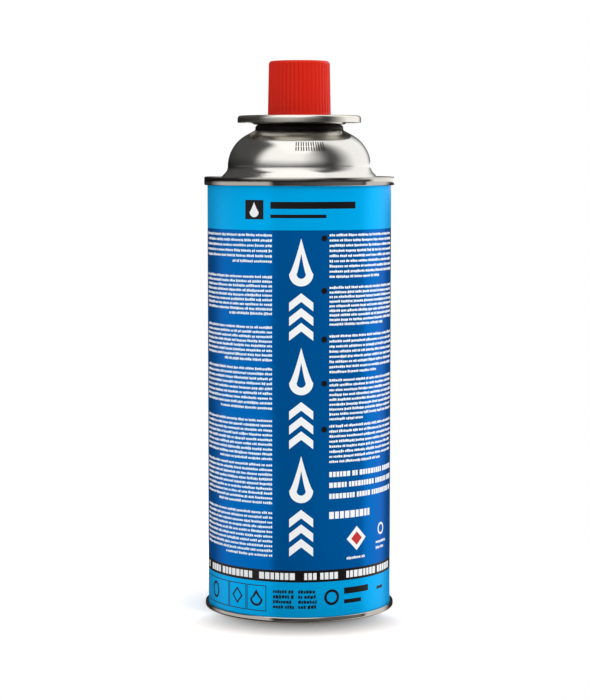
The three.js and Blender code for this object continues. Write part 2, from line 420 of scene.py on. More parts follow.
BARE_TINPLATE = Finish("bare_tinplate", (226, 224, 219), (216, 213, 207), 0.15, 0.23,
                       metallic=1.0, grain=Grain.TURNED, lines_per_mm=9.0, relief=0.22)
PRESSED_COLLAR = Finish("pressed_collar_steel", (228, 224, 216), (218, 214, 206), 0.15, 0.21,
                        metallic=1.0, grain=Grain.TURNED, lines_per_mm=8.0, relief=0.2)
# Painted shade: a dark metal on the neck and curl that stands in for the shade under the collar.
NECK_PAINTED_SHADE = Finish("neck_painted_shade", (46, 43, 40), (36, 34, 32), 0.42, 0.55,
                   metallic=1.0, grain=Grain.TURNED, lines_per_mm=6.0, relief=0.2)
# Partly painted shade: the seam is the same tinplate, and its darker colour stands in for darker
# reflections; its smoother finish is real.
ROLLED_SEAM = Finish("rolled_seam", (196, 190, 182), (186, 180, 172), 0.07, 0.10,
                     metallic=1.0, grain=Grain.TURNED, lines_per_mm=5.0, relief=0.10)
PALE_BLUE_INK = Finish("pale_blue_ink", (0, 184, 255), (0, 181, 252), 0.24, 0.30, metallic=0.3,
                       specular=0.12, edge=(60, 190, 255), lines_per_mm=1.4)
DEEP_BLUE_INK = Finish("deep_blue_ink", (0, 114, 200), (0, 110, 196), 0.20, 0.26, metallic=0.6,
                       specular=0.12, edge=(30, 140, 235), lines_per_mm=1.4)
BLACK_INK = Finish("black_ink", (22, 18, 20), (18, 15, 17), 0.30, 0.38,
                   specular=0.25, lines_per_mm=1.4)
WHITE_INK = Finish("white_ink", (252, 253, 254), (246, 248, 250), 0.35, 0.45, lines_per_mm=1.4)
RED_INK = Finish("red_ink", (206, 44, 36), (198, 40, 34), 0.32, 0.40, lines_per_mm=1.4)
RED_PLASTIC = Finish("moulded_red_plastic", (219, 30, 0), (212, 27, 0), 0.30, 0.40,
                     specular=0.2, lines_per_mm=1.1, relief=0.10)
BLACK_RUBBER = Finish("black_rubber", (26, 26, 27), (34, 34, 35), 0.62, 0.75, specular=0.3)
WHITE_NYLON = Finish("white_nylon", (226, 223, 212), (218, 215, 204), 0.42, 0.52)
SPRING_STEEL = Finish("spring_steel", (176, 176, 180), (160, 160, 166), 0.22, 0.32, metallic=1.0)
STEM_BRASS = Finish("stem_brass", (214, 176, 96), (202, 162, 84), 0.2, 0.3, metallic=1.0,
                    grain=Grain.TURNED, lines_per_mm=6.0, relief=0.2)


@dataclass(frozen=True)
class FrameSizes:
    """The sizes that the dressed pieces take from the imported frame."""

    seam_radius: float
    curl_top: float
    collar_radius: float
    collar_top: float
    cup_radius: float
    cup_top: float
    cap_radius: float
    cap_foot: float
    cap_top: float

    @classmethod
    def read(cls) -> "FrameSizes":
        """Reads the sizes from the boxes of the frame's nodes.

        Returns:
            The sizes in millimetres.
        """
        can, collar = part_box("can"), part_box("bayonet_collar")
        cup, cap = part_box("valve_cup"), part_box("cap")
        return cls(
            seam_radius=can[1].x / MM,
            curl_top=can[1].z / MM,
            collar_radius=collar[1].x / MM,
            collar_top=collar[1].z / MM,
            cup_radius=cup[1].x / MM,
            cup_top=cup[1].z / MM,
            cap_radius=cap[1].x / MM,
            cap_foot=cap[0].z / MM,
            cap_top=cap[1].z / MM,
        )


@dataclass
class CanShell:
    """The three-piece tinplate can: printed wall, domed top end and base end."""

    sizes: FrameSizes
    sides: int = 256
    sheet: float = 0.3
    seam_proud: float = 1.15
    seam_inset: float = 0.15
    seam_height: float = 3.0
    seam_round: float = 0.45
    seam_lap: float = 0.1
    base_seam_height: float = 1.7
    top_seam_under_curl: float = 18.565
    countersink_depth: float = 3.1
    countersink_lean: float = 0.35
    countersink_radius: float = 31.0
    dome_radius: float = 25.7
    flare_rise: float = 2.28
    flare_round: float = 3.2
    shoulder: float = 12.82
    shoulder_lift: float = 3.6
    shoulder_rise: float = 11.31
    # Where the painted shade of the neck begins: its height above the top seam and its reach beyond
    # the curl.
    neck_shade_rise: float = 15.6
    neck_shade_reach: float = 1.0
    curl_radius: float = 15.8
    curl_round: float = 1.3
    curl_drop: float = 2.0
    mouth_radius: float = 12.9
    mouth_depth: float = 3.8
    base_crown: float = 10.7
    base_dome: tuple[Corner, ...] = (Corner(14.0, 9.6, 30.0, 8), Corner(26.0, 6.2, 30.0, 8))
    base_panel_radius: float = 31.65
    base_panel_height: float = 3.6
    base_fold_height: float = 2.9
    fold_round: float = 0.2
    hook_in: float = 0.4
    hook_over_seam: float = 0.6
    top_band_foot: float = 137.2
    black_band_top: float = 18.2
    black_band_foot: float = 14.0

    @property
    def body_radius(self) -> float:
        """Outside radius of the printed wall."""
        return self.sizes.seam_radius - self.seam_proud

    @property
    def fold_radius(self) -> float:
        """Inside radius of the double seams."""
        return self.body_radius - self.seam_inset

    @property
    def seam_top(self) -> float:
        """Height of the top seam's upper edge."""
        return self.sizes.curl_top - self.top_seam_under_curl

    def dome_radius_at(self, z: float) -> float:
        """Returns the dome's outside radius at a height on its shoulder."""
        rise = z - self.seam_top - self.shoulder_lift
        return self.dome_radius - self.shoulder + math.sqrt(self.shoulder**2 - rise**2)

    def _band(self, r: float, z: float) -> int:
        """Finds the ink of one ring of the wall.

        Args:
            r: the ring's radius.
            z: its height.

        Returns:
            Its slot: pale blue, deep blue, black, or bare on the inside.
        """
        if r < self.body_radius - HAIR:
            return 3
        if self.black_band_foot < z < self.black_band_top:
            return 2
        return 1 if self.black_band_top < z < self.top_band_foot else 0

    def _wall(self) -> bpy.types.Object:
        """Builds the printed wall, its bands as separate rings of faces.

        Returns:
            The wall.
        """
        outer, inner = self.body_radius, self.body_radius - self.sheet
        foot = self.base_seam_height - self.seam_lap
        top = self.seam_top - self.seam_height + self.seam_lap
        heights = (foot, self.black_band_foot, self.black_band_top, self.top_band_foot, top)
        outline = [(outer, z) for z in heights] + [(inner, top), (inner, foot)]
        inks = [finish.material()
                for finish in (PALE_BLUE_INK, DEEP_BLUE_INK, BLACK_INK, BARE_TINPLATE)]
        return Turning("printed_wall", outline, inks, self.sides, self._band).build()

    def _end_finish(self, r: float, z: float) -> int:
        """Finds the finish of one ring of an end.

        Args:
            r: the ring's radius.
            z: its height.

        Returns:
            Its slot: plain dome, rolled seam or the neck's painted shade.
        """
        # The seams take the darker seam metal, which is partly painted shade.
        if r > self.fold_radius - 2 * HAIR:
            return 1
        # The neck and curl under the collar take the painted shade.
        on_neck = r < self.curl_radius + self.neck_shade_reach and z > self.seam_top + self.neck_shade_rise
        return 2 if on_neck else 0

    def _end(self, name: str, outline: Sequence[Point]) -> bpy.types.Object:
        """Turns the outline of an end in its three finishes, and returns the end."""
        metals = [finish.material() for finish in (BARE_TINPLATE, ROLLED_SEAM, NECK_PAINTED_SHADE)]
        return Turning(name, outline, metals, self.sides, self._end_finish).build()

    def _top_end(self) -> bpy.types.Object:
        """Builds the top end: seam, countersink, dome, neck and curl, as one pressed sheet.

        Returns:
            The top end.
        """
        outer, fold, dome = self.sizes.seam_radius, self.fold_radius, self.dome_radius
        top, curl = self.seam_top, self.sizes.curl_top
        foot, floor = top - self.seam_height, top - self.countersink_depth
        face = rounded([
            Corner(self.body_radius, foot),
            Corner(outer, foot, 0.35),
            Corner(outer, top, self.seam_round, 7),
            Corner(fold, top, self.seam_round, 7),
            Corner(fold - self.countersink_lean, floor, 0.5),
            Corner(self.countersink_radius, floor, 0.8, 7),
            Corner(dome, top + self.flare_rise, self.flare_round, 9),
            Corner(dome, top + self.shoulder_rise, self.shoulder, 26),
            Corner(self.curl_radius, curl - self.curl_drop, 0.7),
            Corner(self.curl_radius, curl, self.curl_round, 8),
            Corner(self.mouth_radius, curl, self.curl_round, 8),
            Corner(self.mouth_radius, curl - self.mouth_depth),
        ])
        start = next(i for i, (r, _) in enumerate(face) if r < fold - self.sheet)
        return self._end("domed_top_end", face + offset(face[start:], -self.sheet)[::-1])

    def _base_end(self) -> bpy.types.Object:
        """Builds the base end: seam, foot ring and the panel that domes inward.

        Returns:
            The base end.
        """
        outer, fold, top = self.sizes.seam_radius, self.fold_radius, self.base_seam_height
        face = rounded([
            Corner(0.0, self.base_crown),
            *self.base_dome,
            Corner(self.base_panel_radius, self.base_panel_height, 0.6),
            Corner(fold, self.base_fold_height, 0.5),
            Corner(fold + self.seam_inset, 0.0, 0.35),
            Corner(outer, 0.0, self.seam_round, 7),
            Corner(outer, top, 0.5, 7),
            Corner(self.body_radius, top),
        ])
        end = max(i for i, (r, _) in enumerate(face) if r < fold - self.fold_round)
        back = offset(face[:end], -self.sheet)
        back[0] = (0.0, back[0][1])
        hook = (self.body_radius - self.hook_in, self.seam_height + self.hook_over_seam)
        return self._end("base_end", face + [hook] + back[::-1])

    def build(self) -> None:
        """Builds the can's pieces and dresses them."""
        for piece in (self._wall(), self._top_end(), self._base_end()):
            dress(piece, "canister", "printed_tinplate", "can")


@dataclass
class InkLayer:
    """Thin plates of one ink laid round the wall, kept as one piece."""

    name: str
    finish: Finish
    wall_radius: float
    proud: float = 0.04
    sunk: float = 0.10
    facet: float = 1.3
    radius_at: Callable[[float], float] | None = None
    points: list[Point3] = field(default_factory=list)
    faces: list[list[int]] = field(default_factory=list)

    def strip(self, across: Sequence[float], lows: Sequence[float], highs: Sequence[float]) -> None:
        """Adds one closed plate.

        Args:
            across: places round the wall, from the front's centre line, left to right.
            lows: the plate's lower edge at each place.
            highs: the plate's upper edge at each place.
        """
        first = len(self.points)
        for u, low, high in zip(across, lows, highs):
            turn = u / self.wall_radius
            for step in (self.proud, -self.sunk):
                for z in (low, high):
                    reach = step + (self.radius_at(z) if self.radius_at else self.wall_radius)
                    self.points.append((reach * math.sin(turn), -reach * math.cos(turn), z))
        for k in range(len(across) - 1):
            a, b = first + 4 * k, first + 4 * k + 4
            self.faces += [[a, b, b + 1, a + 1], [a + 2, a + 3, b + 3, b + 2],
                           [a + 1, b + 1, b + 3, a + 3], [a, a + 2, b + 2, b]]
        end = first + 4 * (len(across) - 1)
        self.faces += [[first, first + 1, first + 3, first + 2], [end, end + 2, end + 3, end + 1]]

    def curve(self, u: float, z: float, span: Point, columns: int,
              low: Callable[[float], float], high: Callable[[float], float]) -> None:
        """Adds a plate whose edges are functions of the distance from a middle.

        Args:
            u: the middle, round the wall.
            z: the height that the edges are measured from.
            span: where the plate starts and ends, from the middle.
            columns: how many columns make it.
            low: the lower edge.
            high: the upper edge.
        """
        half, middle = (span[1] - span[0]) / 2, (span[0] + span[1]) / 2
        steps = [middle - half * math.cos(math.pi * k / columns) for k in range(columns + 1)]
        self.strip([u + s for s in steps], [z + low(s) for s in steps],
                   [z + high(s) for s in steps])

    def bar(self, left: float, right: float, foot: float, top: float) -> None:
        """Adds a plain rectangle.

        Args:
            left: its left edge, round the wall.
            right: its right edge.
            foot: its lower edge.
            top: its upper edge.
        """
        count = max(1, math.ceil((right - left) / self.facet))
        across = [left + (right - left) * k / count for k in range(count + 1)]
        self.strip(across, [foot] * len(across), [top] * len(across))

    def build(self, *turns: float) -> bpy.types.Object:
        """Makes the piece, with the layer repeated at each turn round the can.

        Args:
            turns: the azimuth of each repeat, in degrees.

        Returns:
            The joined ink.
        """
        points: list[Point3] = []
        faces: list[list[int]] = []
        for turn in turns:
            first = len(points)
            c, s = math.cos(math.radians(turn)), math.sin(math.radians(turn))
            points += [(x * c - y * s, x * s + y * c, z) for x, y, z in self.points]
            faces += [[first + n for n in face] for face in self.faces]
        return make_object(self.name, points, faces, [self.finish.material()])


class Motif(Enum):
    """The plain shapes that stand in the label for its signs and words."""

    OVAL = "disc, or ring where it has a stroke"
    DIAMOND = "diamond"
    DROP = "drop"
    CHEVRONS = "three chevrons"
    BOX = "box outline"


@dataclass
class PrintedLabel:
    """The label's print, all of it plain shapes and rows of blocks."""

    shell: CanShell
    solid_columns: int = 14
    side_columns: int = 6
    frame_columns: int = 16
    chevron_columns: int = 8
    drop_power: float = 1.3
    chevron_rise: float = 0.2
    chevron_thick: float = 0.18
    block_widths: Point = (0.42, 0.78)
    block_heights: tuple[float, ...] = (0.72, 0.72, 0.76, 1.0)
    block_drops: tuple[float, ...] = (0.0, 0.0, 0.0, 0.0, 0.22)
    block_gap: float = 0.18
    run_gap: float = 0.55
    run_blocks: tuple[int, int] = (2, 9)
    emblem: tuple[float, ...] = (-20.0, -12.8, 140.9, 147.6)
    emblem_drop: Point = (3.6, 5.2)
    heading_bars: tuple[tuple[float, ...], ...] = ((-10.2, 20.8, 144.6, 147.0),
                                                   (-10.2, 9.4, 141.4, 142.6))
    word_centre: float = 0.6
    word_width: float = 8.4
    word_foot: float = 22.0
    word_top: float = 135.6
    word_signs: int = 6
    word_gap: float = 2.4
    word_stroke: float = 2.6
    line_pitch: float = 1.7
    last_line_short: Point = (6.0, 22.0)
    line_short: Point = (0.0, 1.2)
    letter_height: float = 0.92
    left_column: Point = (-46.5, -9.7)
    right_column: Point = (10.6, 46.5)
    left_blocks: tuple[Point, ...] = ((136.0, 126.0), (121.5, 107.8), (103.9, 91.7), (89.4, 74.8),
                                      (71.3, 57.0), (55.7, 41.5), (38.9, 22.9))
    right_blocks: tuple[Point, ...] = ((136.0, 120.7), (117.8, 104.1), (100.9, 87.5),
                                       (85.5, 71.0), (69.4, 56.0))
    round_mark: Point = (8.7, 2.1)
    round_mark_under: float = 1.6
    bold_rows: tuple[tuple[float, ...], ...] = ((10.6, 46.0, 51.0, 1.8), (10.6, 46.0, 47.2, 1.8),
                                                (10.6, 46.0, 43.3, 1.8), (10.6, 29.0, 36.2, 2.5))
    white_tile: tuple[float, ...] = (21.7, 28.6, 8.6, 8.6)
    red_tile: tuple[float, ...] = (21.7, 28.6, 4.8, 4.8)
    white_ring: tuple[float, ...] = (35.4, 30.4, 4.4, 4.4, 0.7)
    small_rows: tuple[tuple[float, ...], ...] = ((17.4, 26.0, 21.4, 1.0), (32.0, 40.0, 25.4, 1.0),
                                                 (32.0, 38.6, 23.4, 1.0))
    band_runs: tuple[Point, ...] = ((-45.8, -43.4), (-40.6, -17.0), (-14.6, -0.8), (1.7, 14.2),
                                    (17.3, 44.0))
    band_row: Point = (14.9, 2.4)
    foot_boxes: tuple[tuple[float, float, Motif], ...] = ((-46.0, -28.4, Motif.OVAL),
                                                          (-28.1, -20.0, Motif.DIAMOND),
                                                          (-19.7, -11.9, Motif.DROP))
    box_height: float = 9.2
    box_centre: float = 7.9
    box_line: float = 0.28
    box_sign: tuple[float, ...] = (8.0, 5.0, 6.0, 0.8)
    foot_columns: tuple[Point, ...] = ((-9.4, -1.8), (-0.4, 6.6))
    foot_rows: tuple[float, ...] = (10.1, 8.3, 6.5, 4.7)
    foot_row_height: float = 1.25
    foot_ring: tuple[float, ...] = (11.6, 8.4, 5.6, 5.6, 0.9)
    foot_bars: tuple[tuple[float, ...], ...] = ((16.4, 27.4, 9.2, 11.4), (16.4, 23.8, 5.8, 7.2),
                                                (32.6, 36.8, 8.8, 9.8))
    dome_mark_radius: float = 24.4
    dome_mark_rise: float = 9.2
    dome_mark_height: float = 3.0
    dome_mark_gap: float = 0.24
    dome_mark_stroke: float = 0.38
    dome_mark_start: float = -1.4
    dome_mark_pitch: float = 1.85
    dome_mark_pair: float = 0.85
    dome_mark_count: int = 6
    weld_width: float = 2.4
    weld_azimuth: float = 98.0
    label_azimuths: Point = (0.0, 180.0)

    def __post_init__(self) -> None:
        """Opens one layer for each ink."""
        radius = self.shell.body_radius
        self.white = InkLayer("label_white_ink", WHITE_INK, radius)
        self.black = InkLayer("label_black_ink", BLACK_INK, radius, proud=0.03)
        self.red = InkLayer("label_red_ink", RED_INK, radius, proud=0.06)
        self.draws = random.Random(LABEL_SEED)

    def sign(self, ink: InkLayer, motif: Motif, u: float, z: float, width: float,
             height: float, stroke: float = 0.0) -> None:
        """Draws one plain shape.

        Args:
            ink: the layer it goes on.
            motif: the shape.
            u: its middle, round the wall.
            z: its middle height.
            width: its full width.
            height: its full height.
            stroke: the line's width, or nothing for a solid shape.
        """
        a, b = width / 2, height / 2

        def oval(x: float, wide: float, tall: float) -> Point:
            """Returns the lower and upper edge of an oval at x."""
            reach = tall * math.sqrt(max(0.0, 1 - (x / wide) ** 2))
            return -reach, reach

        def peak(x: float, wide: float, tall: float) -> Point:
            """Returns the lower and upper edge of a diamond at x."""
            reach = tall * max(0.0, 1 - abs(x) / wide)
            return -reach, reach

        def drop(x: float, wide: float, tall: float) -> Point:
            """Returns the lower and upper edge of a drop at x."""
            middle, share = -b + a, max(0.0, 1 - abs(x) / wide)
            return middle + oval(x, wide, wide)[0], middle + (2 * tall - a) * share ** self.drop_power

        form = {Motif.OVAL: oval, Motif.DIAMOND: peak, Motif.DROP: drop}.get(motif)
        if form and not stroke:
            ink.curve(u, z, (-a, a), self.solid_columns,
                      lambda x: form(x, a, b)[0], lambda x: form(x, a, b)[1])
        elif form:
            inner, tall = a - stroke, b - stroke
            for span in ((-a, -inner), (inner, a)):
                ink.curve(u, z, span, self.side_columns,
                          lambda x: form(x, a, b)[0], lambda x: form(x, a, b)[1])
            ink.curve(u, z, (-inner, inner), self.frame_columns,
                      lambda x: form(x, inner, tall)[1], lambda x: form(x, a, b)[1])
            ink.curve(u, z, (-inner, inner), self.frame_columns,
                      lambda x: form(x, a, b)[0], lambda x: form(x, inner, tall)[0])
        elif motif is Motif.CHEVRONS:
            rise, thick = height * self.chevron_rise, height * self.chevron_thick
            for k in range(3):
                foot = -b + k * (height - rise - thick) / 2
                ink.curve(u, z + foot, (-a, a), self.chevron_columns,
                          lambda x: peak(x, a, rise)[1], lambda x: peak(x, a, rise)[1] + thick)
        elif motif is Motif.BOX:
            for low in (b - stroke, -b):
                ink.bar(u - a, u + a, z + low, z + low + stroke)
            for left in (-a, a - stroke):
                ink.bar(u + left, u + left + stroke, z - b + stroke, z + b - stroke)

    def row(self, ink: InkLayer, left: float, right: float, foot: float, height: float,
            from_right: bool = False, even: bool = False) -> None:
        """Draws a row of plain blocks in runs.

        Args:
            ink: the layer it goes on.
            left: where the row may begin.
            right: where it may end.
            foot: the height of its base line.
            height: the tallest block.
            from_right: True where the row is set flush right.
            even: True where all its blocks are as tall as the row.
        """
        at, blocks = 0.0, self.draws.randint(*self.run_blocks)
        while at < right - left:
            wide = height * self.draws.uniform(*self.block_widths)
            if at + wide > right - left:
                break
            start = right - at - wide if from_right else left + at
            tall = [height * self.draws.choice(self.block_heights) for _ in range(2)]
            drop = height * self.draws.choice(self.block_drops)
            if even:
                tall, drop = [height, height], 0.0
            ink.strip([start, start + wide], [foot - drop, foot], [foot + t for t in tall])
            blocks -= 1
            at += wide + height * (self.block_gap if blocks else self.run_gap)
            if not blocks:
                blocks = self.draws.randint(*self.run_blocks)

    def paragraph(self, top: float, foot: float, column: Point, flush_right: bool) -> None:
        """Fills a block with rows of small white print.

        Args:
            top: the first row's upper edge.
            foot: the last row's base line.
            column: the block's left and right edge.
            flush_right: True where the rows line up at the right.
        """
        left, right = column
        lines = round((top - foot - self.letter_height) / self.line_pitch) + 1
        pitch = (top - foot - self.letter_height) / max(lines - 1, 1)
        for k in range(lines):
            span = self.last_line_short if k == lines - 1 else self.line_short
            short = self.draws.uniform(*span)
            start = left + (short if flush_right else 0.0)
            end = right - (0.0 if flush_right else short)
            base = top - self.letter_height - k * pitch
            self.row(self.white, start, end, base, self.letter_height, flush_right)

    def heading(self) -> None:
        """Draws the emblem and the plain bars of the top band."""
        self.black.bar(*self.emblem)
        left, right, foot, top = self.emblem
        self.sign(self.white, Motif.DROP, (left + right) / 2, (foot + top) / 2, *self.emblem_drop)
        for bar in self.heading_bars:
            self.black.bar(*bar)

    def big_word(self) -> None:
        """Draws the tall column of white signs down the front."""
        pitch = (self.word_top - self.word_foot) / self.word_signs
        for k in range(self.word_signs):
            motif = Motif.CHEVRONS if k % 2 == 0 else Motif.DROP
            middle = self.word_foot + (k + 0.5) * pitch
            self.sign(self.white, motif, self.word_centre, middle, self.word_width,
                      pitch - self.word_gap, self.word_stroke)

    def columns(self) -> None:
        """Draws the two columns of small print, and the right one's round marks and bold rows."""
        for top, foot in self.left_blocks:
            self.paragraph(top, foot, self.left_column, True)
        middle, across = self.round_mark
        for top, foot in self.right_blocks:
            self.paragraph(top, foot, self.right_column, False)
            height = top - self.round_mark_under
            self.sign(self.black, Motif.OVAL, middle, height, across, across)
        for row in self.bold_rows:
            self.row(self.white, *row, even=True)

    def signs(self) -> None:
        """Draws the diamond tile and the ring beside it, with the small rows below them."""
        self.sign(self.white, Motif.DIAMOND, *self.white_tile)
        self.sign(self.red, Motif.DIAMOND, *self.red_tile)
        self.sign(self.white, Motif.OVAL, *self.white_ring)
        for row in self.small_rows:
            self.row(self.white, *row)

    def foot_bands(self) -> None:
        """Draws the black band's white runs and the boxes and marks of the bottom band."""
        for left, right in self.band_runs:
            self.row(self.white, left, right, *self.band_row, even=True)
        for left, right, motif in self.foot_boxes:
            middle = (left + right) / 2
            self.sign(self.black, Motif.BOX, middle, self.box_centre, right - left,
                      self.box_height, self.box_line)
            self.sign(self.black, motif, middle, *self.box_sign)
        for left, right in self.foot_columns:
            for foot in self.foot_rows:
                self.row(self.black, left, right, foot, self.foot_row_height)
        self.sign(self.black, Motif.OVAL, *self.foot_ring)
        for bar in self.foot_bars:
            self.black.bar(*bar)

    def dome_marks(self) -> None:
        """Draws the small jet-printed marks on the dome, as pairs of plain strokes."""
        ink = InkLayer("dome_marks", BLACK_INK, self.dome_mark_radius, proud=0.06, facet=0.6,
                       radius_at=self.shell.dome_radius_at)
        foot = self.shell.seam_top + self.dome_mark_rise
        half = (self.dome_mark_height - self.dome_mark_gap) / 2
        for k in range(self.dome_mark_count):
            start = self.dome_mark_start + self.dome_mark_pitch * k
            for left in (start, start + self.dome_mark_pair):
                for low in (foot, foot + half + self.dome_mark_gap):
                    ink.bar(left, left + self.dome_mark_stroke, low, low + half)
        dress(ink.build(0.0), "canister", "printed_tinplate")

    def weld_strip(self) -> None:
        """Lays the bare strip of the wall's weld between the seams."""
        shell = self.shell
        seam = InkLayer("weld_strip", BARE_TINPLATE, shell.body_radius, proud=0.05)
        seam.bar(-self.weld_width / 2, self.weld_width / 2, shell.base_seam_height,
                 shell.seam_top - shell.seam_height)
        dress(seam.build(self.weld_azimuth), "canister", "printed_tinplate")

    def build(self) -> None:
        """Draws the label, repeats it at the back, and dresses its inks."""
        self.heading()
        self.big_word()
        self.columns()
        self.signs()
        self.foot_bands()
        for layer in (self.white, self.black, self.red):
            dress(layer.build(*self.label_azimuths), "canister", "printed_tinplate")
        self.dome_marks()
        self.weld_strip()


@dataclass
class Collar:
    """The pressed bayonet collar round the neck, with its notch at the back."""

    sizes: FrameSizes
    sides: int = 192
    sheet: float = 0.5
    hole_radius: float = 13.4
    pan_under_top: float = 2.95
    rim_inside: float = 17.35
    dish_start: float = 16.1
    dish_rise: float = 0.9
    lip_height: float = 2.5
    notch_width: float = 6.5
    notch_floor: float = 17.9
    cutter_reach: float = 2.0
    cutter_depth: float = 4.0

    def build(self) -> None:
        """Presses the collar, cuts its notch and dresses it."""
        half = self.sheet / 2
        pan = self.sizes.collar_top - self.pan_under_top
        rim = self.sizes.collar_top - half
        lip = self.sizes.collar_radius - half
        section = sheet_section([
            Corner(self.hole_radius, pan),
            Corner(self.dish_start, pan, 0.8),
            Corner(self.rim_inside, pan + self.dish_rise, 0.5),
            Corner(self.rim_inside, rim, 0.6),
            Corner(lip, rim, 0.8, 8),
            Corner(lip, self.sizes.collar_top - self.lip_height),
        ], self.sheet)
        steel = PRESSED_COLLAR.material()
        made = Turning("pressed_collar", section, [steel], self.sides).build()
        self._cut_notch(made, steel)
        dress(made, "canister", "collar_steel", "bayonet_collar")

    def _cut_notch(self, collar: bpy.types.Object, steel: bpy.types.Material) -> None:
        """Cuts the notch out of the rim with a block, and keeps the cut mesh.

        Args:
            collar: the whole collar.
            steel: the material of the cut faces.
        """
        half, top = self.notch_width / 2, self.sizes.collar_top
        cutter = make_block("notch_block", (-half, self.notch_floor, top - self.cutter_depth),
                            (half, self.sizes.collar_radius + self.cutter_reach,
                             top + self.cutter_reach), steel)
        cut = collar.modifiers.new("notch", "BOOLEAN")
        cut.operation = "DIFFERENCE"
        cut.solver = "EXACT"
        cut.object = cutter
        graph = bpy.context.evaluated_depsgraph_get()
        mesh = bpy.data.meshes.new_from_object(collar.evaluated_get(graph))
        collar.modifiers.clear()
        collar.data = mesh
        mesh.set_sharp_from_angle(angle=math.radians(SHARP_DEGREES))
        bpy.data.objects.remove(cutter)


@dataclass
class ValveCup:
    """The pressed cup that closes the mouth and holds the valve."""

    sizes: FrameSizes
    sides: int = 144
    sheet: float = 0.4
    wall_radius: float = 12.4
    crimp: float = 0.9
    crimp_under_rim: float = 3.4
    crimp_slope: float = 0.9
    crimp_land: float = 1.4
    pedestal_radius: float = 5.0
    pedestal_drop: float = 1.2
    stem_hole: float = 2.3
    lip_drop: float = 1.2

    def build(self) -> None:
        """Presses the cup and dresses it. The cap stands on the cup's floor."""
        half = self.sheet / 2
        rim, floor = self.sizes.cup_top - half, self.sizes.cap_foot - half
        pedestal = self.sizes.cup_top - self.pedestal_drop - half
        edge, wall = self.sizes.cup_radius - half, self.wall_radius
        bulge = wall + self.crimp
        crimp_top = rim - self.crimp_under_rim
        crimp_foot = crimp_top - 2 * self.crimp_slope - self.crimp_land
        section = sheet_section([
            Corner(edge, self.sizes.cup_top - self.lip_drop),
            Corner(edge, rim, 0.5, 6),
            Corner(wall, rim, 0.7, 6),
            Corner(wall, crimp_top, 0.6),
            Corner(bulge, crimp_top - self.crimp_slope, 0.6),
            Corner(bulge, crimp_foot + self.crimp_slope, 0.6),
            Corner(wall, crimp_foot, 0.4),
            Corner(wall, floor, 0.7, 6),
            Corner(self.pedestal_radius, floor, 0.7, 6),
            Corner(self.pedestal_radius, pedestal, 0.7, 6),
            Corner(self.stem_hole, pedestal),
        ], self.sheet)
        made = Turning("pressed_valve_cup", section, [BARE_TINPLATE.material()], self.sides).build()
        dress(made, "canister", "cup_steel", "valve_cup")


@dataclass
class Cap:
    """The ribbed push-in cap, hollow from below."""

    sizes: FrameSizes
    wall: float = 1.3
    crown: float = 1.6
    crown_dip: float = 0.25
    crown_flat: float = 6.0
    crown_round: float = 3.0
    mouth_chamfer: float = 0.25
    corner: float = 1.2
    skirt_radius: float = 11.0
    bead_foot: float = 0.7
    bead_peak: float = 1.8
    bead_top: float = 2.9
    step_foot: float = 7.6
    step_top: float = 8.6
    side_foot: float = 9.5
    side_radius: float = 11.3
    taper: float = 0.35
    side_steps: int = 12
    ribs: int = 45
    steps_a_rib: int = 10
    rib_depth: float = 0.3
    rib_run_in: float = 0.4
    rib_power: float = 0.7
    land: float = 0.05

    def _rib(self, r: float, z: float, turn: float) -> float:
        """Sinks the grooves between the ribs into the cap's side.

        Args:
            r: a place's radius.
            z: its height.
            turn: its angle round the axis.

        Returns:
            How far the side moves out there, which is never above zero.
        """
        foot = self.sizes.cap_foot + self.side_foot
        head = self.sizes.cap_top - self.corner
        if r < self.side_radius - self.taper - self.land or not foot < z < head + HAIR:
            return 0.0
        ends = min(1.0, (z - foot) / self.rib_run_in)
        return -self.rib_depth * ends * (1 - abs(math.cos(turn * self.ribs / 2)) ** self.rib_power)

    def _side(self) -> list[Point]:
        """Lays out the tapered side that carries the ribs.

        Returns:
            Its outline, from its foot to the crown's corner.
        """
        foot = self.sizes.cap_foot + self.side_foot + self.land
        rise = self.sizes.cap_top - self.corner - foot
        side = [(self.side_radius - self.taper * k / self.side_steps,
                 foot + rise * k / self.side_steps) for k in range(self.side_steps + 1)]
        return [side[0], (self.side_radius - HAIR, foot + self.rib_run_in)] + side[1:]

    def build(self) -> None:
        """Moulds the cap and dresses it."""
        foot, top = self.sizes.cap_foot, self.sizes.cap_top
        skirt, inner = self.skirt_radius, self.skirt_radius - self.wall
        head = self.side_radius - self.taper
        outer = rounded([
            Corner(inner, foot, 0.2),
            Corner(skirt, foot, 0.3),
            Corner(skirt, foot + self.bead_foot, 0.4),
            Corner(self.sizes.cap_radius, foot + self.bead_peak, 0.5),
            Corner(skirt, foot + self.bead_top, 0.4),
            Corner(skirt, foot + self.step_foot, 0.6),
            Corner(self.side_radius, foot + self.step_top, 0.4),
            Corner(self.side_radius, foot + self.side_foot - self.land),
        ])
        crown = rounded([
            Corner(head, top - self.corner),
            Corner(head, top, self.corner, 8),
            Corner(self.crown_flat, top, self.crown_round, 4),
            Corner(0.0, top - self.crown_dip),
        ])
        hollow = rounded([
            Corner(0.0, top - self.crown),
            Corner(inner, top - self.crown, 0.8),
            Corner(inner, foot + self.mouth_chamfer),
        ])
        made = Turning("ribbed_cap", outer + self._side() + crown[1:] + hollow,
                       [RED_PLASTIC.material()], self.ribs * self.steps_a_rib,
                       swell=self._rib).build()
        dress(made, "cap", "red_plastic", "cap")


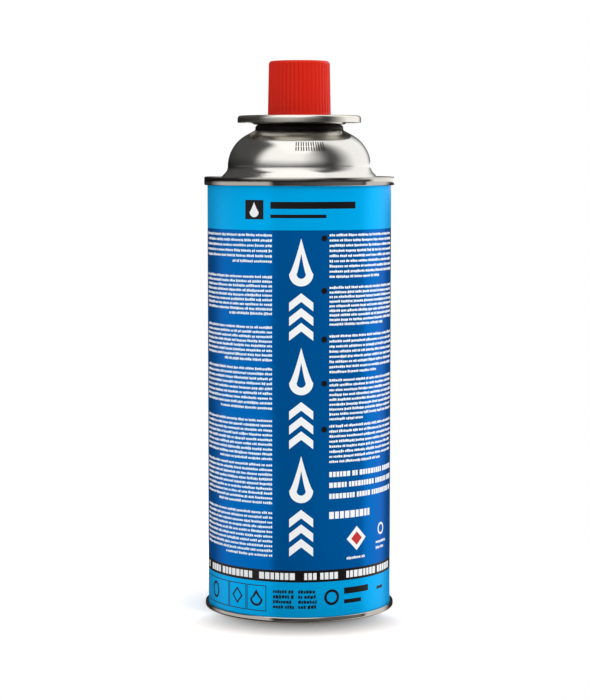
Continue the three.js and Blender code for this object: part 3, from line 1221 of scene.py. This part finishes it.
@dataclass(frozen=True)
class ValveParts:
    """The valve's CAD pieces that stay as they are and only take a finish."""

    finishes: tuple[tuple[str, Finish], ...] = (
        ("mouth_gasket", BLACK_RUBBER),
        ("stem_gasket", BLACK_RUBBER),
        ("valve_housing", WHITE_NYLON),
        ("stem_spring", SPRING_STEEL),
        ("valve_stem", STEM_BRASS),
    )

    def build(self, nodes: dict[str, bpy.types.Object]) -> None:
        """Gives each valve piece its finish.

        Args:
            nodes: the frame's CAD objects by name.
        """
        for name, finish in self.finishes:
            made = finish.material()
            for slot in nodes[name].material_slots:
                slot.material = made
            LOG.info("%s: takes %s", name, finish.name)


@dataclass(frozen=True)
class Card:
    """A lit card beside the canister, as its metal sees it, between two azimuths."""

    start: float
    end: float
    soft_before: float
    soft_after: float
    level: float


@dataclass
class Studio:
    """Floor, white surround, lamp and the cards that shape the metal's reflections."""

    daylight: float = 0.86
    lamp_place: Point3 = (750.0, -450.0, 750.0)
    lamp_aim: Point3 = (0.0, 0.0, 120.0)
    lamp_size: float = 500.0
    lamp_watts: float = 3.2
    floor_radius: float = 420.0
    floor_clear_from: float = 85.0
    floor_clear_to: float = 150.0
    floor_as_seen: Colour = (1.64, 1.56, 1.48)
    floor_as_light: Colour = (0.92, 0.92, 0.91)
    # Painted contact shadow: the floor's colour darkens towards the tone below where the canister
    # hides it, by its ambient occlusion raised to a power that is larger in front.
    painted_shadow_tone: Colour = (0.10, 0.085, 0.065)
    contact_reach: float = 36.0
    contact_samples: int = 16
    contact_power_front: float = 5.0
    contact_power_side: float = 0.3
    contact_side_cosine: float = -0.5
    tent_radius: float = 1400.0
    tent_lift_from: float = 112.0
    tent_lift_to: float = 700.0
    tent_steps: int = 24
    tent_sides: int = 64
    ring_radius: float = 350.0
    ring_foot: float = -140.0
    ring_top: float = 145.0
    seam_ring_top: float = 168.0
    ring_sides: int = 96
    panel_low: Point3 = (-440.0, -1000.0, 1000.0)
    panel_high: Point3 = (320.0, 500.0, 1004.0)
    panel_level: float = 1.4
    horizon_dark: float = 0.02
    raised_dark: float = 0.08
    wall_dark: float = 0.04
    seam_dark: float = 0.01
    horizon_cards: tuple[Card, ...] = (
        Card(-24.0, -12.0, 40.0, 30.0, 0.32),
        Card(98.0, 142.0, 42.0, 18.0, 1.2),
    )
    raised_cards: tuple[Card, ...] = (
        Card(-62.0, 4.0, 16.0, 44.0, 1.3),
        Card(100.0, 150.0, 34.0, 20.0, 1.2),
    )
    wall_cards: tuple[Card, ...] = (
        Card(-104.0, -36.0, 26.0, 6.0, 0.80),
        Card(-34.0, 76.0, 2.0, 6.0, 0.25),
        Card(86.0, 120.0, 4.0, 18.0, 1.0),
    )
    seam_cards: tuple[Card, ...] = (
        Card(30.0, 80.0, 10.0, 8.0, 0.06),
        Card(98.0, 179.0, 10.0, 1.0, 1.4),
    )

    def _ramp(self, nodes: Nodes, azimuth: bpy.types.NodeSocket, cards: Sequence[Card],
              dark: float) -> bpy.types.NodeSocket:
        """Makes a ramp round the horizon from a set of cards.

        Args:
            nodes: the material's nodes.
            azimuth: the azimuth as a fraction of a full turn.
            cards: the cards in order of azimuth.
            dark: the level between them.

        Returns:
            The socket with the level.
        """
        stops: list[tuple[float, float]] = []
        for card in cards:
            stops += [(card.start - card.soft_before, dark), (card.start, card.level),
                      (card.end, card.level), (card.end + card.soft_after, dark)]
        kept = [stops[0]]
        for stop in stops[1:]:
            if stop[0] > kept[-1][0] + HAIR:
                kept.append(stop)
        outputs = nodes.add("ValToRGB", {"Fac": azimuth})
        elements = outputs[0].node.color_ramp.elements
        elements.remove(elements[0])
        for k, (degrees, level) in enumerate(kept):
            place = degrees / 360 + 0.5
            spot = elements[0] if k == 0 else elements.new(place)
            spot.position = place
            spot.color = (level, level, level, 1.0)
        return outputs["Color"]

    def _direction(self, nodes: Nodes) -> tuple[bpy.types.NodeSocket, bpy.types.NodeSocket]:
        """Finds where a point of a card lies from the canister.

        Args:
            nodes: the material's nodes.

        Returns:
            The sockets of the azimuth, as a fraction of a turn, and of the height.
        """
        parts = nodes.add("SeparateXYZ", {0: nodes.add("TexCoord")["Object"]})
        front = nodes.add("Math", {0: parts["Y"], 1: -1.0}, operation="MULTIPLY")
        turn = nodes.add("Math", {0: parts["X"], 1: front["Value"]}, operation="ARCTAN2")
        share = nodes.add("Math", {0: turn["Value"], 1: 1 / math.tau, 2: 0.5},
                          operation="MULTIPLY_ADD")
        return share["Value"], parts["Z"]

    def _glow(self, nodes: Nodes, light: bpy.types.NodeSocket | Rgba) -> None:
        """Makes a card's material glow with a light."""
        glow = nodes.add("Emission", {"Color": light})
        nodes.add("OutputMaterial", {"Surface": glow["Emission"]})

    def _only_in_gloss(self, card: bpy.types.Object) -> None:
        """Shows a card to glossy rays alone.

        Args:
            card: the card.
        """
        for ray in ("camera", "diffuse", "shadow", "transmission", "volume_scatter"):
            setattr(card, f"visible_{ray}", False)
        card.data.materials[0].cycles.emission_sampling = "NONE"

    def tent(self) -> None:
        """Builds the far surround: dark, with raised light from the front left and the right."""
        made = blank_material("tent_light")
        nodes = Nodes(made.node_tree)
        azimuth, height = self._direction(nodes)
        lift = nodes.add("MapRange", {"Value": height, "From Min": self.tent_lift_from * MM,
                                      "From Max": self.tent_lift_to * MM},
                         interpolation_type="SMOOTHSTEP")
        mix = nodes.add("Mix", {
            "Factor": lift["Result"],
            "A": self._ramp(nodes, azimuth, self.horizon_cards, self.horizon_dark),
            "B": self._ramp(nodes, azimuth, self.raised_cards, self.raised_dark),
        }, data_type="RGBA")
        self._glow(nodes, mix["Result"])
        radius = self.tent_radius
        turns = [math.pi * (k / self.tent_steps - 0.5) for k in range(1, self.tent_steps)]
        arc = [(radius * math.cos(turn), radius * math.sin(turn)) for turn in turns]
        ball = [(0.0, -radius)] + arc + [(0.0, radius)]
        self._only_in_gloss(Turning("light_tent", ball, [made], self.tent_sides).build())

    def rings(self) -> None:
        """Builds the two low rings of cards that the printed wall and the seams reflect."""
        rings = (("low_cards", self.wall_cards, self.ring_foot, self.ring_top, self.wall_dark),
                 ("seam_cards", self.seam_cards, self.ring_top, self.seam_ring_top,
                  self.seam_dark))
        for name, cards, foot, top, dark in rings:
            made = blank_material(name)
            nodes = Nodes(made.node_tree)
            azimuth, _ = self._direction(nodes)
            self._glow(nodes, self._ramp(nodes, azimuth, cards, dark))
            near, far = self.ring_radius, self.ring_radius + 2
            outline = [(near, foot), (far, foot), (far, top), (near, top)]
            self._only_in_gloss(Turning(name, outline, [made], self.ring_sides).build())

    def overhead(self) -> None:
        """Hangs the bright panel over the canister, from the front to just behind it."""
        made = blank_material("overhead_panel")
        self._glow(Nodes(made.node_tree), (self.panel_level,) * 3 + (1.0,))
        self._only_in_gloss(make_block("overhead_panel", self.panel_low, self.panel_high, made))

    def _contact(self, nodes: Nodes, place: bpy.types.NodeSocket) -> bpy.types.NodeSocket:
        """Finds how open the floor is, for the painted contact shadow, which is made deeper in front
        of the canister.

        Args:
            nodes: the floor's nodes.
            place: the place on the floor.

        Returns:
            The socket of the share, 1 in the open.
        """
        outward = nodes.add("VectorMath", {0: place}, operation="NORMALIZE")
        parts = nodes.add("SeparateXYZ", {0: outward["Vector"]})
        power = nodes.add("MapRange", {
            "Value": parts["Y"],
            "From Min": -1.0,
            "From Max": self.contact_side_cosine,
            "To Min": self.contact_power_front,
            "To Max": self.contact_power_side,
        })
        near = nodes.add("AmbientOcclusion", {"Distance": self.contact_reach * MM},
                         samples=self.contact_samples)
        return nodes.add("Math", {0: near["AO"], 1: power["Result"]}, operation="POWER")["Value"]

    def floor(self) -> None:
        """Builds the white floor, which clears away from the object into the white surround."""
        made = blank_material("white_floor")
        nodes = Nodes(made.node_tree)
        place = nodes.add("TexCoord")["Object"]
        tone = nodes.add("Mix", {"Factor": nodes.add("LightPath")["Is Camera Ray"],
                                 "A": self.floor_as_light + (1.0,),
                                 "B": self.floor_as_seen + (1.0,)}, data_type="RGBA")
        # Painted contact shadow: the floor's colour darkens near the canister, most in front.
        shade = nodes.add("Mix", {"Factor": self._contact(nodes, place),
                                  "A": self.painted_shadow_tone + (1.0,),
                                  "B": tone["Result"]}, data_type="RGBA")
        paper = nodes.add("BsdfDiffuse", {"Color": shade["Result"]})
        clear = nodes.add("BsdfTransparent")
        reach = nodes.add("VectorMath", {0: place}, operation="LENGTH")
        fade = nodes.add("MapRange", {"Value": reach["Value"],
                                      "From Min": self.floor_clear_from * MM,
                                      "From Max": self.floor_clear_to * MM},
                         interpolation_type="SMOOTHSTEP")
        mix = nodes.add("MixShader", {"Fac": fade["Result"], 1: paper["BSDF"], 2: clear["BSDF"]})
        nodes.add("OutputMaterial", {"Surface": mix["Shader"]})
        turns = [math.tau * k / self.ring_sides for k in range(self.ring_sides)]
        rim = [(self.floor_radius * math.cos(turn), self.floor_radius * math.sin(turn), 0.0)
               for turn in turns]
        sheet = make_object("white_floor", rim, [list(range(len(rim)))], [made])
        sheet.visible_glossy = False

    def world(self) -> None:
        """Lights from all round, white where the camera or a shiny surface sees it."""
        world = bpy.data.worlds.new("white_surround")
        bpy.context.scene.world = world
        world.use_nodes = True
        nodes = Nodes(world.node_tree)
        rays = nodes.add("LightPath")
        shown = rays["Is Camera Ray"]
        for name in ("Is Glossy Ray", "Is Transmission Ray"):
            shown = nodes.add("Math", {0: shown, 1: rays[name]}, operation="ADD",
                              use_clamp=True)["Value"]
        light = nodes.add("Mix", {"Factor": shown, "A": (self.daylight,) * 3 + (1.0,),
                                  "B": (1.0, 1.0, 1.0, 1.0)}, data_type="RGBA")
        nodes.wire(world.node_tree.nodes["Background"], {"Color": light["Result"]})

    def lamp(self) -> None:
        """Hangs the soft lamp at the upper right."""
        light = bpy.data.lights.new("soft_lamp", "AREA")
        light.size = self.lamp_size * MM
        light.energy = self.lamp_watts
        lamp = bpy.data.objects.new("soft_lamp", light)
        lamp.location = Vector(self.lamp_place) * MM
        aim = (Vector(self.lamp_aim) - Vector(self.lamp_place)) * MM
        lamp.rotation_euler = aim.to_track_quat("-Z", "Y").to_euler()
        lamp.visible_glossy = False
        bpy.context.scene.collection.objects.link(lamp)

    def build(self) -> None:
        """Builds the studio."""
        self.world()
        self.floor()
        self.tent()
        self.rings()
        self.overhead()
        self.lamp()
        LOG.info("studio: floor, light tent, rings of cards, overhead panel and a soft lamp")


@dataclass(frozen=True)
class PhotoCamera:
    """The photograph's camera, from its place and focal length in pixels."""

    width_px: int = 590
    height_px: int = 700
    focal_px: float = 2176.4
    axis_px: float = 299.3
    stand_off: float = 784.7
    height: float = 163.0
    tilt_degrees: float = 5.111
    sensor: float = 36.0
    nearest_m: float = 0.05
    farthest_m: float = 10.0

    def build(self) -> None:
        """Sets the camera up and makes it the scene's own."""
        data = bpy.data.cameras.new("photo_camera")
        data.sensor_fit = "VERTICAL"
        data.sensor_height = self.sensor
        data.sensor_width = self.sensor
        data.lens = self.focal_px * self.sensor / self.height_px
        data.clip_start = self.nearest_m
        data.clip_end = self.farthest_m
        camera = bpy.data.objects.new("photo_camera", data)
        aside = (self.width_px / 2 - self.axis_px) * self.stand_off / self.focal_px
        camera.location = (aside * MM, -self.stand_off * MM, self.height * MM)
        camera.rotation_euler = (math.radians(90 - self.tilt_degrees), 0.0, 0.0)
        bpy.context.scene.collection.objects.link(camera)
        bpy.context.scene.camera = camera
        LOG.info("camera: lens %.1f mm", data.lens)


def main() -> None:
    """Builds the studio, the canister and the camera."""
    logging.basicConfig(level=logging.INFO, format="%(name)s: %(message)s")
    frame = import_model()
    bpy.context.scene.view_settings.view_transform = "Standard"
    sizes = FrameSizes.read()
    Studio().build()
    shell = CanShell(sizes)
    shell.build()
    PrintedLabel(shell).build()
    Collar(sizes).build()
    ValveCup(sizes).build()
    Cap(sizes).build()
    ValveParts().build(frame["nodes"])
    PhotoCamera().build()


if __name__ == "__main__":
    main()
